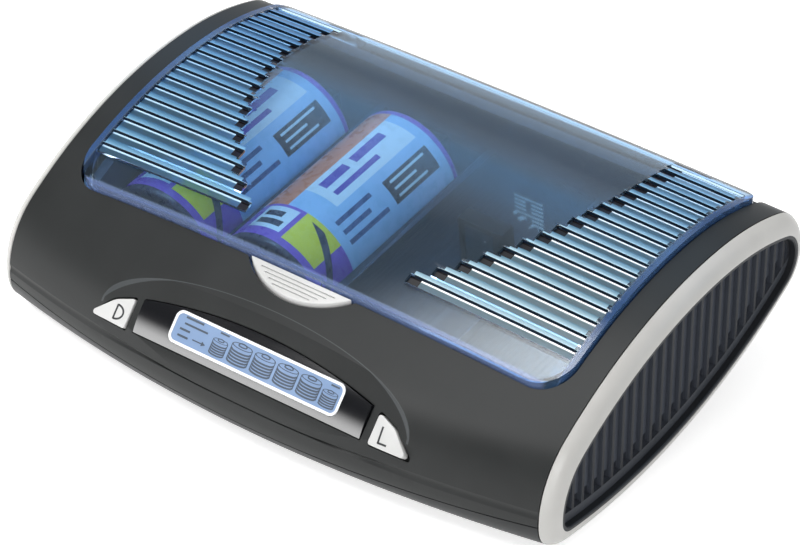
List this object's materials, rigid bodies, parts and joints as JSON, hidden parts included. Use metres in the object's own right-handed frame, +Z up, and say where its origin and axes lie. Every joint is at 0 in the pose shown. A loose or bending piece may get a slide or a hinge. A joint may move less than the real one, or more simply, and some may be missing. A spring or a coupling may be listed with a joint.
{
  "type": "battery charger",
  "caption": "Desktop charger with a bowed dark housing, silver end rings, ribbed end panels, a hinged clear blue grooved lid over sloping cell bays, and a display with buttons.",
  "frame": {"origin": "centre of the footprint, on the ground under the feet", "axes": "+X along the width to the picture's right end, +Y from the console to the back, +Z up"},
  "size_m": [0.1768, 0.1209, 0.0537],
  "materials": {
    "dark_plastic": "fine moulded grain",
    "silver_plastic": "satin silver",
    "panel_plastic": "matte",
    "lid_plastic": "clear blue",
    "lens_plastic": "glossy dark",
    "display": "pale blue display",
    "tray_plastic": "matte",
    "slider_plastic": "matte",
    "contact_metal": "nickel plated",
    "spring_steel": "bright wire",
    "circuit_board": "green laminate",
    "switch_plastic": "matte",
    "socket_plastic": "matte",
    "screw_steel": "plated",
    "foot_rubber": "matte",
    "cell_sleeve": "printed sleeve"
  },
  "bodies": {
    "base": {"lower_housing": "dark_plastic", "upper_housing": "dark_plastic", "left_trim_ring": "silver_plastic", "right_trim_ring": "silver_plastic", "left_vent_panel": "panel_plastic", "right_vent_panel": "panel_plastic", "left_hinge_pin": "screw_steel", "right_hinge_pin": "screw_steel", "display_window": "lens_plastic", "lcd_module": "display", "display_board": "circuit_board", "button_switches": "switch_plastic", "battery_tray": "tray_plastic", "front_contacts": "contact_metal", "nine_volt_contacts": "contact_metal", "slider_springs": "spring_steel", "main_board": "circuit_board", "dc_socket": "socket_plastic", "case_screws": "screw_steel", "feet": "foot_rubber", "d_cell_1": "cell_sleeve", "d_cell_2": "cell_sleeve"},
    "lid": {"lid": "lid_plastic"},
    "lid_release": {"lid_release": "silver_plastic"},
    "left_button": {"left_button": "silver_plastic"},
    "right_button": {"right_button": "silver_plastic"},
    "slider_1": {"contact_slider_1": "slider_plastic", "slider_contact_1": "contact_metal"},
    "slider_2": {"contact_slider_2": "slider_plastic", "slider_contact_2": "contact_metal"},
    "slider_3": {"contact_slider_3": "slider_plastic", "slider_contact_3": "contact_metal"},
    "slider_4": {"contact_slider_4": "slider_plastic", "slider_contact_4": "contact_metal"}
  },
  "joints": [
    {"name": "lid_hinge", "type": "hinge", "parent": "base", "child": "lid", "pos_m": [0, 0.0557, 0.0402], "axis": [-1, 0, 0], "range_deg": [0, 95]},
    {"name": "release_press", "type": "slide", "parent": "base", "child": "lid_release", "axis": [0, 0, -1], "range_m": [0, 0.0015], "stiffness_N_per_m": 700},
    {"name": "left_button_press", "type": "slide", "parent": "base", "child": "left_button", "axis": [0, 0.7581, -0.6521], "range_m": [0, 0.0006], "stiffness_N_per_m": 900},
    {"name": "right_button_press", "type": "slide", "parent": "base", "child": "right_button", "axis": [0, 0.7581, -0.6521], "range_m": [0, 0.0006], "stiffness_N_per_m": 900},
    {"name": "slider_1_travel", "type": "slide", "parent": "base", "child": "slider_1", "axis": [0, 0.9925, 0.1219], "range_m": [0, 0.0025], "stiffness_N_per_m": 120, "springref_m": -0.004},
    {"name": "slider_2_travel", "type": "slide", "parent": "base", "child": "slider_2", "axis": [0, 0.9925, 0.1219], "range_m": [0, 0.0025], "stiffness_N_per_m": 120, "springref_m": -0.004},
    {"name": "slider_3_travel", "type": "slide", "parent": "base", "child": "slider_3", "axis": [0, 0.9925, 0.1219], "range_m": [0, 0.022], "stiffness_N_per_m": 120, "springref_m": -0.004},
    {"name": "slider_4_travel", "type": "slide", "parent": "base", "child": "slider_4", "axis": [0, 0.9925, 0.1219], "range_m": [0, 0.022], "stiffness_N_per_m": 120, "springref_m": -0.004}
  ]
}
